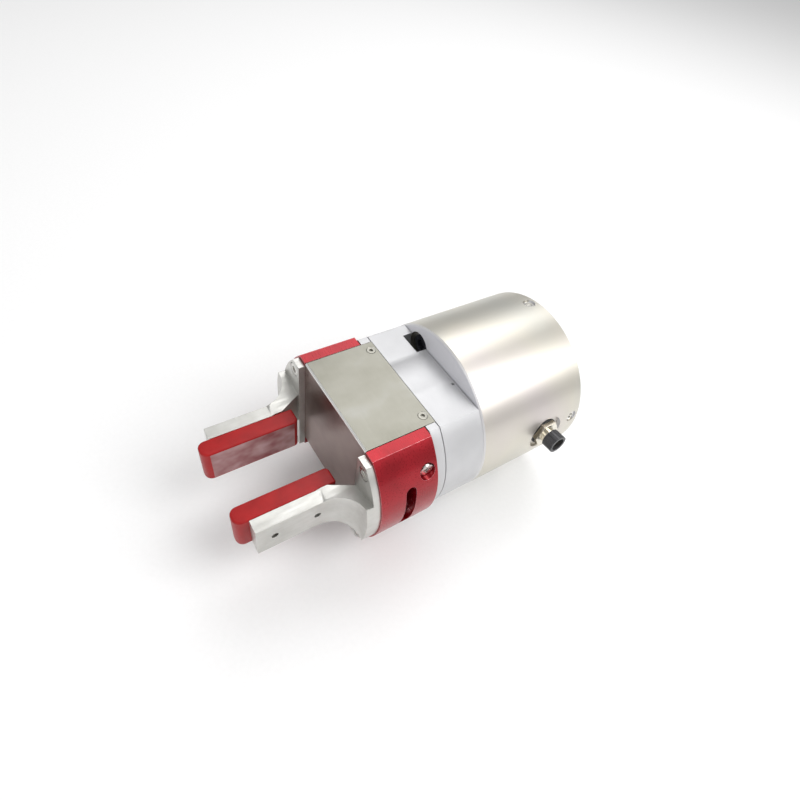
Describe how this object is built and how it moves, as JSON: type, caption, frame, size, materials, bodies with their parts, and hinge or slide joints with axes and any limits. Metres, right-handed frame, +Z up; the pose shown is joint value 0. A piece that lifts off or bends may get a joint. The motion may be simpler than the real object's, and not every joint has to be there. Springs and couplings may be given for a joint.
{
  "type": "parallel gripper",
  "caption": "Two-finger parallel gripper: round drive housing, folded front cover, red sliding jaws and padded fingers that move apart together.",
  "frame": {"origin": "centre of the rear mounting face, where it meets the robot wrist", "axes": "+Z up, -Y along the tool axis from the mounting face to the fingertips, +X towards the jaw on the connector's side"},
  "size_m": [0.0857, 0.1574, 0.076],
  "materials": {
    "satin_shell": "satin anodised, fine turned lines",
    "satin_block": "satin anodised",
    "cover_sheet": "smooth plated sheet, semi-gloss",
    "jaw_red": "gloss red anodised",
    "finger_metal": "satin machined",
    "pad_red": "soft silicone, slight sheen",
    "screw_steel": "bright zinc plated",
    "gear_steel": "ground",
    "connector_nickel": "satin nickel",
    "connector_dark": "fine grain",
    "contact_gold": "gold plated",
    "seal_rubber": "matte",
    "board_green": "solder mask",
    "motor_black": "satin black",
    "bronze": "sintered bronze"
  },
  "bodies": {
    "housing": {"housing_shell": "satin_shell", "mounting_plate": "satin_block", "locating_pin": "gear_steel", "shell_screws": "screw_steel", "connector_barrel": "connector_nickel", "connector_seal": "seal_rubber", "connector_nut": "connector_nickel", "connector_ring": "connector_dark", "connector_insert": "connector_dark", "connector_pins": "contact_gold", "control_board": "board_green", "board_standoffs": "contact_gold", "board_screws": "screw_steel", "encoder_cap": "connector_dark", "motor": "motor_black", "gearhead": "gear_steel", "motor_ring": "satin_block", "motor_ring_screws": "screw_steel", "block_screws": "screw_steel", "gearhead_screws": "screw_steel", "mid_block": "satin_block", "guide_plate": "satin_block", "guide_plate_screws": "screw_steel", "slide_housing": "satin_block", "bearing_plate": "satin_block", "slide_screws": "screw_steel", "front_cover": "cover_sheet", "cover_screws": "screw_steel", "bearing_outer_rings": "gear_steel", "rod_bushes": "bronze"},
    "right_jaw_slide": {"right_jaw": "jaw_red", "right_rack": "gear_steel", "right_rack_screws": "screw_steel", "right_guide_rod": "gear_steel", "right_rod_screw": "screw_steel", "right_finger": "finger_metal", "right_finger_screws": "screw_steel", "right_pad": "pad_red", "right_pad_screws": "screw_steel"},
    "left_jaw_slide": {"left_jaw": "jaw_red", "left_rack": "gear_steel", "left_rack_screws": "screw_steel", "left_guide_rod": "gear_steel", "left_rod_screw": "screw_steel", "left_finger": "finger_metal", "left_finger_screws": "screw_steel", "left_pad": "pad_red", "left_pad_screws": "screw_steel"},
    "pinion_set": {"pinion": "gear_steel", "pinion_key": "gear_steel", "pinion_shaft": "gear_steel", "pinion_spacer": "gear_steel", "bearing_inner_rings": "gear_steel", "bearing_balls": "gear_steel"}
  },
  "joints": [
    {"name": "right_jaw_travel", "type": "slide", "parent": "housing", "child": "right_jaw_slide", "axis": [1, 0, 0], "range_m": [0, 0.032]},
    {"name": "left_jaw_travel", "type": "slide", "parent": "housing", "child": "left_jaw_slide", "axis": [-1, 0, 0], "range_m": [0, 0.032]},
    {"name": "pinion_turn", "type": "hinge", "parent": "housing", "child": "pinion_set", "pos_m": [0, -0.092, 0], "axis": [0, 1, 0], "range_deg": [-0.5, 230]}
  ],
  "couplings": [
    {"joint": "left_jaw_travel", "follows": "right_jaw_travel", "ratio": 1},
    {"joint": "pinion_turn", "follows": "right_jaw_travel", "rad_per_m": 125}
  ]
}
